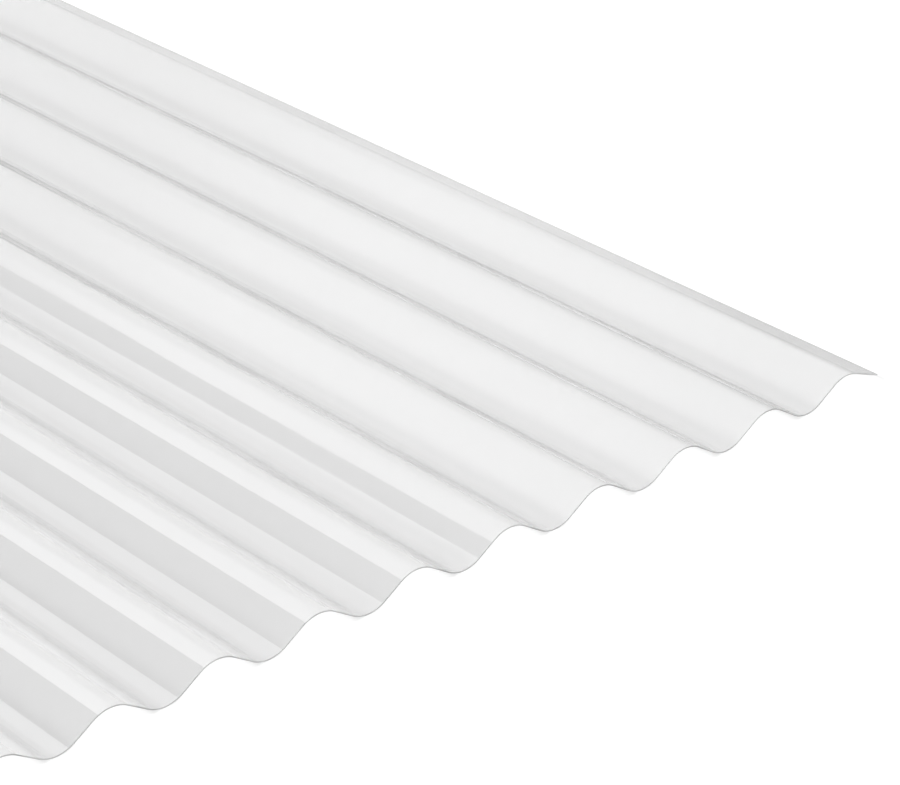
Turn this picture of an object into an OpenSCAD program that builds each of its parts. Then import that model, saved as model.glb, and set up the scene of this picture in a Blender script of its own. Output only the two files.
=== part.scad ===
// Corrugated PVC sheet: one thin extruded sheet with round-crested waves along its length.
// It lies flat on the lines of its troughs. Waves run along Y and follow one another across X.
// Units are millimetres, +Z is up, and the origin is the middle of the sheet's underside.

/* [Sheet] */

// Length along the waves
sheet_length = 2438.4; // [600:0.1:3660]

// Thickness of the plastic
thickness = 0.8; // [0.6:0.05:2]

// Number of crests across the sheet
crests = 10; // [4:1:16]

/* [Wave] */

// Distance from one crest to the next
pitch = 67.73; // [60:0.01:80]

// Depth of the wave from crest to trough, on one face
depth = 14.3; // [12:0.1:18]

// Radius of crests and troughs at the middle of the thickness
bend_radius = 20; // [8:0.1:24]

/* [Side edges] */

// How far the right-hand edge reaches past the last crest
right_overhang = 27.3; // [20:0.1:30]

// How far the left-hand edge reaches past the first crest
left_overhang = 23.5; // [20:0.1:30]

// Slope of the straight lip at each side edge, in degrees
lip_slope = 21.6; // [12:0.1:24]

/* [Hidden] */

// The largest radius that still leaves a straight flank between two bends
radius_limit = 0.97 * (pitch * pitch / 4 + depth * depth) / (4 * depth);
radius = min(bend_radius, radius_limit);

// The flank is the line that touches a crest's bend and the next trough's bend from inside
centre_rise = 2 * radius - depth;
centre_gap = sqrt(pitch * pitch / 4 + centre_rise * centre_rise);
flank_slope = atan2(pitch / 2, centre_rise) - acos(2 * radius / centre_gap);
lip = min(lip_slope, flank_slope);

sheet_width = (crests - 1) * pitch + left_overhang + right_overhang;
first_crest = left_overhang - sheet_width / 2;

// Heights of the bends' centres: the troughs' underside is at zero
trough_centre = thickness / 2 + radius;
crest_centre = thickness / 2 + depth - radius;

// Bends are cut this much large, so that each one crosses its flank instead of grazing it
snug = 0.005;
round_fn = 180;

function crest_x(i) = first_crest + i * pitch;
function trough_x(i) = first_crest + (i + 0.5) * pitch;

// Slopes on the left and right of a crest: a lip at the sheet's edges, a flank elsewhere
function left_slope(i) = i == 0 ? lip : flank_slope;
function right_slope(i) = i == crests - 1 ? lip : flank_slope;

// Where a bend of radius r turns into its flank
function crest_end(i, r, side, slope) = [
    crest_x(i) + side * r * sin(slope),
    crest_centre + r * cos(slope)
];
function trough_end(i, r, side) = [
    trough_x(i) + side * r * sin(flank_slope),
    trough_centre - r * cos(flank_slope)
];

// A lip's height at distance x from its crest
function lip_height(r, x) = crest_centre + r / cos(lip) - x * tan(lip);

// Straight runs of the wave, with each bend left as its chord
module straight_runs(crest_r, trough_r, past) {
    last = crests - 1;
    left_reach = left_overhang + past;
    right_reach = right_overhang + past;
    floor_z = -2 * radius - past;
    polygon(concat(
        [[crest_x(0) - left_reach, floor_z]],
        [[crest_x(0) - left_reach, lip_height(crest_r, left_reach)]],
        [for (i = [0 : last - 1]) each [
            crest_end(i, crest_r, -1, left_slope(i)),
            crest_end(i, crest_r, 1, right_slope(i)),
            trough_end(i, trough_r, -1),
            trough_end(i, trough_r, 1)
        ]],
        [crest_end(last, crest_r, -1, left_slope(last))],
        [crest_end(last, crest_r, 1, right_slope(last))],
        [[crest_x(last) + right_reach, lip_height(crest_r, right_reach)]],
        [[crest_x(last) + right_reach, floor_z]]
    ));
}

// A slice of a disc, from a degrees left of straight up to b degrees right of it
module slice(r, a, b) {
    spill = 2 * acos(r / (r + snug));
    reach = 2 * r;
    intersection() {
        circle(r = r + snug, $fn = round_fn);
        polygon([
            [0, 0],
            [-reach * sin(a + spill), reach * cos(a + spill)],
            [0, reach],
            [reach * sin(b + spill), reach * cos(b + spill)]
        ]);
    }
}

// Everything below the wave's surface that lies `raise` above the middle of the thickness
module below_surface(raise, past) {
    crest_r = radius + raise;
    trough_r = radius - raise;
    run = sheet_length + 2 * past;
    difference() {
        union() {
            linear_extrude(height = run, center = true)
                straight_runs(crest_r, trough_r, past);
            for (i = [0 : crests - 1])
                translate([crest_x(i), crest_centre])
                    linear_extrude(height = run, center = true)
                        slice(crest_r, left_slope(i), right_slope(i));
        }
        for (i = [0 : crests - 2])
            translate([trough_x(i), trough_centre])
                mirror([0, 1])
                    linear_extrude(height = run + 2, center = true)
                        slice(trough_r, flank_slope, flank_slope);
    }
}

module corrugated_sheet() {
    color([0.93, 0.95, 0.95, 0.45])
        rotate([90, 0, 0])
            difference() {
                below_surface(thickness / 2, 0);
                below_surface(-thickness / 2, 2);
            }
}

corrugated_sheet();
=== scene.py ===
"""Looks of the corrugated PVC sheet: its waves in fine steps, its clear plastic and its cut edges.

The floor, the room, the light and the camera are here too, and aren't part of the sheet.
"""

import math

import bmesh
import bpy
from mathutils import Matrix, Vector, noise


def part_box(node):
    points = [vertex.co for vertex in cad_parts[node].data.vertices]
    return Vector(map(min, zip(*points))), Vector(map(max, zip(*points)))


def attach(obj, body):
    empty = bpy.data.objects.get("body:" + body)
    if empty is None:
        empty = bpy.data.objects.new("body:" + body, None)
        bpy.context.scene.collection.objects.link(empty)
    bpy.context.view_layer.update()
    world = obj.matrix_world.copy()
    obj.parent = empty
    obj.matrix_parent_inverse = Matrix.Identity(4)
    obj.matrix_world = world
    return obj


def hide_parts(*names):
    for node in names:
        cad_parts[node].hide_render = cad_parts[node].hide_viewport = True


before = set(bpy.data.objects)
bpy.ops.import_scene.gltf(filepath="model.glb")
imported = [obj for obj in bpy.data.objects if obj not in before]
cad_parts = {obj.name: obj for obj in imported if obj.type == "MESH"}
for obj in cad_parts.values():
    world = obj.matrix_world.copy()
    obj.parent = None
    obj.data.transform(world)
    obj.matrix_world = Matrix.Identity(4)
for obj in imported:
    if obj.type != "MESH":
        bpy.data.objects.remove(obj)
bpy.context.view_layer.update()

# ---------- the sheet, in metres ----------

# The wave is the one in the part's source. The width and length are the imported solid's.
PITCH = 0.06773
DEPTH = 0.0143
THICKNESS = 0.0008
BEND_RADIUS = 0.020
LEFT_OVERHANG = 0.0235
RIGHT_OVERHANG = 0.0273
LIP_SLOPE = math.radians(21.6)  # each side edge ends in a straight lip
sheet_low, sheet_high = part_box("corrugated_sheet")
WIDTH = sheet_high.x - sheet_low.x
LENGTH = sheet_high.y - sheet_low.y
CRESTS = round((WIDTH - LEFT_OVERHANG - RIGHT_OVERHANG) / PITCH) + 1
FIRST_CREST = sheet_low.x + LEFT_OVERHANG
LAST_CREST = FIRST_CREST + (CRESTS - 1) * PITCH
MID_HEIGHT = (sheet_low.z + sheet_high.z) / 2

# A trough is bent round a centre above the crest's. A straight flank touches both bends.
CENTRE_RISE = 2 * BEND_RADIUS - DEPTH
CENTRE_GAP = math.hypot(PITCH / 2, CENTRE_RISE)
FLANK_SLOPE = math.atan2(PITCH / 2, CENTRE_RISE) - math.acos(2 * BEND_RADIUS / CENTRE_GAP)
FLANK_LENGTH = math.sqrt(CENTRE_GAP ** 2 - 4 * BEND_RADIUS ** 2)

# How finely the sheet is made.
LIP_STEPS = 3
BEND_STEPS = 12
FLANK_STEPS = 2
LENGTH_STEPS = 112
SAME_POINT = 1e-6  # points nearer than this are merged

# The waves lose this share of their depth, give or take as much, in patches this many to a metre.
EASE = 0.010
EASE_ACROSS = 9
EASE_ALONG = 2.6

# ---------- the plastic ----------

PVC_TINT = 0.985
PVC_IOR = 1.53
PVC_ROUGHNESS = 0.03

# Share of the light that a face mirrors head on, and how late the rest comes as it turns edge on.
HEAD_ON_MIRROR = 0.044
EDGE_ON_POWER = 5

# Marks: their size in metres, their stretch along the sheet, and their detail.
RIPPLES = (0.045, 2.5, 1.0)
DIE_LINES = (0.004, 60, 2.0)
HAZE = (0.035, 3.0, 5.0)
CLOUDS = (0.12, 2.0, 2.0)
SCUFFS = (1 / 900, 1, 3.0)
SCUFFED_PATCHES = (1 / 60, 1, 2.0)

RIPPLE_HEIGHT = 0.00009
DIE_LINE_HEIGHT = 0.000001
SCUFF_HEIGHT = 0.00008

# Where in its pattern a mark starts to show, and where it shows in full.
HAZE_SHOWS = (0.45, 0.75)
PATCHES_SHOW = (0.3, 0.7)

CLOUD_TINT = 0.01  # darker and paler by this much
HAZE_ROUGHNESS = 0.04
# Greys of the cut edges: a painted shade for the thin dark line along the clear sheet's edges, varied in
# scuffed patches.
PAINTED_EDGE_SHADE = (0.45, 0.62)
EDGE_ROUGHNESS = 0.35
SCUFF_ROUGHNESS = 0.25

# ---------- the floor, the room and the light ----------

FLOOR_LEVEL = 0.85
FLOOR_REACH = 20  # to each side
FLOOR_GAP = 0.0002
FLOOR_TOP_UP = 0.26
SHARE_IN_SHEET = 0.28  # of that top-up, what shows in or through the sheet

# The room is white, dark high up on its left, and has a window on its right. A pair says where
# something starts to show and where it shows in full, as the sine of an angle.
WALLS = 0.9
DARK_HEIGHT = (math.sin(math.radians(24)), math.sin(math.radians(34)))
DARK_SIDE = (0.0, 0.08)
WINDOW_LEVEL = 2.0
WINDOW_FROM = 56  # degrees round the room
WINDOW_TO = 130
WINDOW_SIDE = (-0.05, 0.05)
WINDOW_SILL = (0.15, 0.3)
WINDOW_HEAD = (0.9, 0.8)

# The ceiling and its soft box, in pitches: from the last crest, from the near end, and up. The box
# brightens from its dimmest at the first place across to its full level at the second.
CEILING_ACROSS = (-9, 40)
CEILING_ALONG = (6, 75)
CEILING_HEIGHT = 18
BOX_ACROSS = (22, -8)
BOX_ALONG = (14, 27)
BOX_FADE = 4 * PITCH
BOX_LEVEL = 1.4
BOX_DIMMEST = 0.25

# The low card's glow is a painted dark reflection in the clear lip, darker at the near end.
PAINTED_REFLECTION_LEVELS = (0.58, 0.76)  # at the near end, and past the fade
CARD_FADE = 5 * PITCH
CARD_GAP = 0.5 * PITCH
CARD_HEIGHT = 0.5 * PITCH

SIDE_LIGHT_FROM = (-88, 37)  # degrees round and up
SIDE_LIGHT_POWER = 1.6
SIDE_LIGHT_SPREAD = 6  # degrees

# ---------- the camera ----------

CAMERA_TURN = (-40.77, 27.66, -0.67)  # degrees round, up and tilted
CAMERA_AIM = (-2.681, 2.259)  # pitches from the last crest and from the near end
CAMERA_DISTANCE = 29.562 * PITCH
CAMERA_LENS = 134.0
CAMERA_SENSOR = 36
CAMERA_CLIP = (0.1, 60)


# ---------- shader maths ----------

MIX_COLOURS = (6, 7)  # a Mix node's two colour inputs, and its colour output
MIX_RESULT = 2


class Socket:
    """A node's socket that takes part in ordinary arithmetic."""

    def __init__(self, nodes, socket):
        self.nodes = nodes
        self.socket = socket

    def math(self, operation, *values):
        return self.nodes.add("ShaderNodeMath", {"operation": operation}, dict(enumerate(values)))

    def __add__(self, other):
        return self.math("ADD", self, other)

    def __sub__(self, other):
        return self.math("SUBTRACT", self, other)

    def __rsub__(self, other):
        return self.math("SUBTRACT", other, self)

    def __mul__(self, other):
        return self.math("MULTIPLY", self, other)

    def __pow__(self, other):
        return self.math("POWER", self, other)

    def __rpow__(self, other):
        return self.math("POWER", other, self)

    __radd__ = __add__
    __rmul__ = __mul__

    def at_least(self, other):
        return self.math("MAXIMUM", self, other)

    def rise(self, low, high):
        """0 up to low, 1 from high on, smooth in between. It falls instead if low is above high."""
        smooth = self.nodes.add(
            "ShaderNodeMapRange", {"interpolation_type": "SMOOTHSTEP"},
            {"Value": self, "From Min": min(low, high), "From Max": max(low, high)},
        )
        return 1 - smooth if low > high else smooth


class Nodes:
    """A node tree that grows by one node a call."""

    def __init__(self, owner):
        owner.use_nodes = True
        self.tree = owner.node_tree
        self.tree.nodes.clear()

    def add(self, kind, settings=None, inputs=None, out=0):
        node = self.tree.nodes.new(kind)
        for name, value in (settings or {}).items():
            setattr(node, name, value)
        for key, value in (inputs or {}).items():
            if isinstance(value, Socket):
                self.tree.links.new(value.socket, node.inputs[key])
            else:
                node.inputs[key].default_value = value
        return Socket(self, node.outputs[out]) if len(node.outputs) else None


def new_material(name):
    material = bpy.data.materials.new(name)
    return material, Nodes(material)


def grey(level):
    return (level, level, level, 1)


def grey_between(n, share, low, high):
    """A grey that goes from low to high as the share goes from 0 to 1."""
    first, second = MIX_COLOURS
    inputs = {"Factor": share, first: grey(low), second: grey(high)}
    return n.add("ShaderNodeMix", {"data_type": "RGBA"}, inputs, out=MIX_RESULT)


def mixed(n, share, first, second):
    """The first shader, with this share of the second in its stead."""
    return n.add("ShaderNodeMixShader", None, {0: share, 1: first, 2: second})


def place_on_object(n):
    return n.add("ShaderNodeTexCoord", out="Object")


def axis(n, place, name):
    return n.add("ShaderNodeSeparateXYZ", None, {0: place}, out=name)


def ray_is(n, kind):
    """1 for light paths of this kind, and 0 for the others."""
    return n.add("ShaderNodeLightPath", out=f"Is {kind} Ray")


def marks(n, place, size, stretch, detail):
    """A pattern from 0 to 1, of marks this size in metres and longer along the sheet by the stretch."""
    squeezed = n.add(
        "ShaderNodeVectorMath", {"operation": "MULTIPLY"},
        {0: place, 1: (1, 1 / stretch, 1)}, out="Vector",
    )
    inputs = {"Vector": squeezed, "Scale": 1 / size, "Detail": detail}
    return n.add("ShaderNodeTexNoise", None, inputs, out="Fac")


def bumps(n, layers):
    """A surface normal from several patterns, each with its height in metres."""
    normal = None
    for pattern, height in layers:
        inputs = {"Height": pattern, "Distance": height, "Strength": 1.0}
        if normal:
            inputs["Normal"] = normal
        normal = n.add("ShaderNodeBump", None, inputs, out="Normal")
    return normal


# ---------- the sheet ----------

def put_in_scene(name, bm, *materials):
    """Makes the shape an object at the origin, with these materials in its slots."""
    mesh = bpy.data.meshes.new(name)
    bm.to_mesh(mesh)
    bm.free()
    for material in materials:
        mesh.materials.append(material)
    piece = bpy.data.objects.new(name, mesh)
    bpy.context.scene.collection.objects.link(piece)
    return piece


def sweep(bm, geometry, centre=(0, 0, 0), angle=0.0, shift=(0, 0, 0), steps=1):
    """Turns or moves geometry in steps, leaving faces or edges behind, and returns its far end."""
    return bmesh.ops.spin(
        bm, geom=geometry, cent=centre, axis=(0, 1, 0), dvec=shift, angle=angle,
        steps=steps, use_duplicate=False,
    )["geom_last"]


def run_straight(bm, tip, length, slope, steps):
    """Extends the wave's line from its tip: downhill, or uphill for a negative slope."""
    step = Vector((math.cos(slope), 0, -math.sin(slope))) * (length / steps)
    return sweep(bm, tip, shift=step, steps=steps)


def run_bend(bm, tip, centre, angle):
    """Extends the wave's line from its tip, round this centre."""
    return sweep(bm, tip, centre=centre, angle=angle, steps=BEND_STEPS)


def wave_line(bm):
    """The sheet's section at the middle of its thickness, from the left edge to the right."""
    y = sheet_low.y
    crest_z = MID_HEIGHT + DEPTH / 2 - BEND_RADIUS
    trough_z = MID_HEIGHT - DEPTH / 2 + BEND_RADIUS
    lip_start = BEND_RADIUS * math.sin(LIP_SLOPE)
    square_cut = THICKNESS / 2 * math.sin(LIP_SLOPE)  # the lip's upper corner reaches this much further
    left_lip = (LEFT_OVERHANG - square_cut - lip_start) / math.cos(LIP_SLOPE)
    right_lip = (RIGHT_OVERHANG - square_cut - lip_start) / math.cos(LIP_SLOPE)
    edge_z = crest_z + BEND_RADIUS * math.cos(LIP_SLOPE) - left_lip * math.sin(LIP_SLOPE)
    tip = [bm.verts.new((sheet_low.x + square_cut, y, edge_z))]
    tip = run_straight(bm, tip, left_lip, -LIP_SLOPE, LIP_STEPS)
    for i in range(CRESTS):
        x = FIRST_CREST + i * PITCH
        rise = LIP_SLOPE if i == 0 else FLANK_SLOPE
        fall = LIP_SLOPE if i == CRESTS - 1 else FLANK_SLOPE
        tip = run_bend(bm, tip, (x, y, crest_z), rise + fall)
        if i < CRESTS - 1:
            tip = run_straight(bm, tip, FLANK_LENGTH, FLANK_SLOPE, FLANK_STEPS)
            tip = run_bend(bm, tip, (x + PITCH / 2, y, trough_z), -2 * FLANK_SLOPE)
            tip = run_straight(bm, tip, FLANK_LENGTH, -FLANK_SLOPE, FLANK_STEPS)
    run_straight(bm, tip, right_lip, LIP_SLOPE, LIP_STEPS)


def ease_waves(bm):
    """A real sheet's waves aren't all quite the same depth: they flatten a little, here and there."""
    for vert in bm.verts:
        place = Vector((vert.co.x * EASE_ACROSS, vert.co.y * EASE_ALONG, 0))
        flatter = EASE + EASE * noise.noise(place)
        vert.co.z += (MID_HEIGHT - vert.co.z) * flatter


def smooth_with_sharp_rim(bm):
    for face in bm.faces:
        face.smooth = True
    for edge in bm.edges:
        edge.smooth = not edge.is_boundary


def give_wall(sheet):
    """Thickens the sheet, half to each side. Its cut edges take the second material."""
    wall = sheet.modifiers.new("wall", "SOLIDIFY")
    wall.thickness = THICKNESS
    wall.offset = 0
    wall.use_even_offset = True
    wall.use_quality_normals = True
    wall.material_offset_rim = 1


def make_sheet():
    bm = bmesh.new()
    wave_line(bm)
    line = bm.verts[:] + bm.edges[:]
    sweep(bm, line, shift=(0, LENGTH / LENGTH_STEPS, 0), steps=LENGTH_STEPS)
    bmesh.ops.remove_doubles(bm, verts=bm.verts, dist=SAME_POINT)
    ease_waves(bm)
    bmesh.ops.recalc_face_normals(bm, faces=bm.faces)
    if sum(face.normal.z for face in bm.faces) < 0:
        bmesh.ops.reverse_faces(bm, faces=bm.faces)
    smooth_with_sharp_rim(bm)
    sheet = put_in_scene("clear_sheet", bm, clear_pvc(), cut_edge())
    give_wall(sheet)
    return sheet


def clear_pvc():
    """Clear plastic. Light on its way to or from the floor goes straight through, less what it mirrors."""
    material, n = new_material("clear_pvc")
    place = place_on_object(n)
    ripples = marks(n, place, *RIPPLES)
    die_lines = marks(n, place, *DIE_LINES)
    haze = marks(n, place, *HAZE).rise(*HAZE_SHOWS)
    clouds = marks(n, place, *CLOUDS)
    plastic = n.add("ShaderNodeBsdfPrincipled", None, {
        "Base Color": grey_between(n, clouds, PVC_TINT - CLOUD_TINT, PVC_TINT + CLOUD_TINT),
        "Roughness": PVC_ROUGHNESS + HAZE_ROUGHNESS * haze,
        "IOR": PVC_IOR,
        "Transmission Weight": 1.0,
        "Normal": bumps(n, ((ripples, RIPPLE_HEIGHT), (die_lines, DIE_LINE_HEIGHT))),
    })
    edge_on = n.add("ShaderNodeLayerWeight", None, {"Blend": 0.5}, out="Facing")
    mirrored = HEAD_ON_MIRROR + (1 - HEAD_ON_MIRROR) * edge_on ** EDGE_ON_POWER
    passed = n.add("ShaderNodeBsdfTransparent", None, {"Color": grey(math.sqrt(PVC_TINT))})
    stopped = n.add("ShaderNodeBsdfDiffuse", None, {"Color": grey(0.0)})
    straight = mixed(n, mirrored, passed, stopped)
    surface = mixed(n, ray_is(n, "Diffuse"), plastic, straight)
    surface = mixed(n, ray_is(n, "Shadow"), surface, straight)
    n.add("ShaderNodeOutputMaterial", None, {"Surface": surface})
    return material


def cut_edge():
    """Where the saw and the slitter went through: the same plastic, scuffed and dull, and painted grey, a
    painted shade for the thin dark line along the sheet's cut edges.
    """
    material, n = new_material("cut_edge")
    place = place_on_object(n)
    scuffs = marks(n, place, *SCUFFS)
    patches = marks(n, place, *SCUFFED_PATCHES).rise(*PATCHES_SHOW)
    plastic = n.add("ShaderNodeBsdfPrincipled", None, {
        "Base Color": grey_between(n, patches, *PAINTED_EDGE_SHADE),
        "Roughness": EDGE_ROUGHNESS + SCUFF_ROUGHNESS * scuffs,
        "IOR": PVC_IOR,
        "Normal": bumps(n, ((scuffs, SCUFF_HEIGHT),)),
    })
    n.add("ShaderNodeOutputMaterial", None, {"Surface": plastic})
    return material


# ---------- the floor, the room and the light ----------

def white_floor():
    """Pale floor that takes the sheet's shadow. What the camera sees of it is topped up to white."""
    material, n = new_material("white_floor")
    in_sheet = ray_is(n, "Transmission").at_least(ray_is(n, "Glossy"))
    seen = ray_is(n, "Camera").at_least(in_sheet * SHARE_IN_SHEET)
    paint = n.add("ShaderNodeBsdfDiffuse", None, {"Color": grey(FLOOR_LEVEL)})
    top_up = n.add("ShaderNodeEmission", None, {"Color": seen * FLOOR_TOP_UP, "Strength": 1.0})
    surface = n.add("ShaderNodeAddShader", None, {0: paint, 1: top_up})
    n.add("ShaderNodeOutputMaterial", None, {"Surface": surface})
    bm = bmesh.new()
    bmesh.ops.create_grid(bm, x_segments=2, y_segments=2, size=FLOOR_REACH)
    bmesh.ops.translate(bm, verts=bm.verts, vec=(0, 0, sheet_low.z - FLOOR_GAP))
    floor = put_in_scene("floor", bm, material)


def glowing(name, level_over):
    """A plain glow for a piece that is only mirrored, as bright as level_over makes it in each place."""
    material, n = new_material(name)
    level = level_over(n, place_on_object(n))
    glow = n.add("ShaderNodeEmission", None, {"Color": level, "Strength": 1.0})
    n.add("ShaderNodeOutputMaterial", None, {"Surface": glow})
    return material


def only_mirrored(piece):
    """The piece shows in the sheet alone: the camera doesn't see it, and it lights and shades nothing."""
    piece.visible_camera = False
    piece.visible_diffuse = False
    piece.visible_shadow = False


def soft_box_level(n, place):
    """Brightest near the soft box's left end, fading to the plain white of the ceiling round it."""
    near, far = (sheet_low.y + PITCH * i for i in BOX_ALONG)
    dim, bright = (LAST_CREST + PITCH * i for i in BOX_ACROSS)
    y = axis(n, place, "Y")
    lit = y.rise(near - BOX_FADE, near + BOX_FADE) * y.rise(far + BOX_FADE, far - BOX_FADE)
    dimmer = axis(n, place, "X").rise(dim, bright)
    return WALLS + (BOX_LEVEL - WALLS) * lit * (BOX_DIMMEST + (1 - BOX_DIMMEST) * dimmer)


def soft_box():
    """A white ceiling with a soft box in it. It ends above the sheet's left half, and past it is dark."""
    left, right = (LAST_CREST + PITCH * i for i in CEILING_ACROSS)
    front, back = (sheet_low.y + PITCH * i for i in CEILING_ALONG)
    middle = ((left + right) / 2, (front + back) / 2, MID_HEIGHT + CEILING_HEIGHT * PITCH)
    bm = bmesh.new()
    bmesh.ops.create_grid(bm, x_segments=1, y_segments=1, size=0.5)
    bmesh.ops.scale(bm, verts=bm.verts, vec=(right - left, back - front, 1))
    bmesh.ops.translate(bm, verts=bm.verts, vec=middle)
    bmesh.ops.reverse_faces(bm, faces=bm.faces)
    box = put_in_scene("soft_box", bm, glowing("soft_box_fabric", soft_box_level))
    only_mirrored(box)


def painted_reflection_level(n, place):
    """The painted dark reflection's level: darker at the near end."""
    dark, pale = PAINTED_REFLECTION_LEVELS
    return dark + (pale - dark) * axis(n, place, "Y").rise(sheet_low.y, sheet_low.y + CARD_FADE)


def painted_dark_reflection_card():
    """A low glowing card beside the right-hand edge, seen only in the sheet. It paints a dark reflection
    into the clear lip, which sets the lip off from the white floor.
    """
    x = sheet_high.x + CARD_GAP
    near, far = sheet_low.y - PITCH, sheet_high.y + PITCH
    low, high = sheet_low.z, sheet_low.z + CARD_HEIGHT
    bm = bmesh.new()
    corners = ((x, near, low), (x, far, low), (x, far, high), (x, near, high))
    bm.faces.new([bm.verts.new(corner) for corner in corners])
    card = put_in_scene("painted_dark_reflection_card", bm, glowing("painted_dark_reflection_card", painted_reflection_level))
    only_mirrored(card)


def toward(azimuth, elevation):
    """Unit vector: azimuth 0 is +Y and 90 is +X, in degrees."""
    a, e = math.radians(azimuth), math.radians(elevation)
    return Vector((math.sin(a) * math.cos(e), math.cos(a) * math.cos(e), math.sin(e)))


def along(n, direction, vector):
    """How far the direction points along the vector, from -1 to 1."""
    return n.add(
        "ShaderNodeVectorMath", {"operation": "DOT_PRODUCT"},
        {0: direction, 1: tuple(vector)}, out="Value",
    )


def studio():
    """A white room round the sheet, dark high up on its left, with a bright window on its right."""
    world = bpy.data.worlds.new("studio")
    bpy.context.scene.world = world
    n = Nodes(world)
    direction = n.add("ShaderNodeTexCoord", out="Generated")
    height = along(n, direction, (0, 0, 1))
    dark = height.rise(*DARK_HEIGHT) * along(n, direction, toward(-90, 0)).rise(*DARK_SIDE)
    window = along(n, direction, toward(WINDOW_FROM + 90, 0)).rise(*WINDOW_SIDE)
    window = window * along(n, direction, toward(WINDOW_TO - 90, 0)).rise(*WINDOW_SIDE)
    window = window * height.rise(*WINDOW_SILL) * height.rise(*WINDOW_HEAD)
    light = (WALLS + (WINDOW_LEVEL - WALLS) * window) * (1 - dark)
    room = n.add("ShaderNodeBackground", None, {"Color": light, "Strength": 1.0})
    white = n.add("ShaderNodeBackground", None, {"Color": grey(1.0), "Strength": 1.0})
    surface = mixed(n, ray_is(n, "Camera"), room, white)
    n.add("ShaderNodeOutputWorld", None, {"Surface": surface})


def side_light():
    """Light from the left, like sun through a tall window. It draws a fine dark line beside each trough."""
    data = bpy.data.lights.new("side_light", "SUN")
    data.energy = SIDE_LIGHT_POWER
    data.angle = math.radians(SIDE_LIGHT_SPREAD)
    light = bpy.data.objects.new("side_light", data)
    light.rotation_euler = toward(*SIDE_LIGHT_FROM).to_track_quat("Z", "Y").to_euler()
    light.visible_camera = False
    light.visible_glossy = False
    light.visible_transmission = False
    bpy.context.scene.collection.objects.link(light)


# ---------- the camera ----------

def place_camera():
    """Well above the sheet and off its near left side, looking across the waves with a long lens."""
    azimuth, elevation, roll = map(math.radians, CAMERA_TURN)
    back = Vector((
        math.sin(azimuth) * math.cos(elevation),
        -math.cos(azimuth) * math.cos(elevation),
        math.sin(elevation),
    ))
    right = (-back).cross(Vector((0, 0, 1))).normalized()
    up = right.cross(-back)
    turned_right = right * math.cos(roll) + up * math.sin(roll)
    turned_up = up * math.cos(roll) - right * math.sin(roll)
    aim_x, aim_y = CAMERA_AIM
    aim = Vector((LAST_CREST + aim_x * PITCH, sheet_low.y + aim_y * PITCH, MID_HEIGHT))
    data = bpy.data.cameras.new("camera")
    data.lens = CAMERA_LENS
    data.sensor_width = CAMERA_SENSOR
    data.clip_start, data.clip_end = CAMERA_CLIP
    camera = bpy.data.objects.new("camera", data)
    axes = Matrix((turned_right, turned_up, back)).transposed().to_4x4()
    camera.matrix_world = Matrix.Translation(aim + back * CAMERA_DISTANCE) @ axes
    bpy.context.scene.collection.objects.link(camera)
    bpy.context.scene.camera = camera


# ---------- put together ----------

sheet = make_sheet()
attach(sheet, "root")
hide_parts("corrugated_sheet")

white_floor()
soft_box()
side_light()
painted_dark_reflection_card()
studio()
place_camera()
bpy.context.scene.view_settings.view_transform = "Standard"
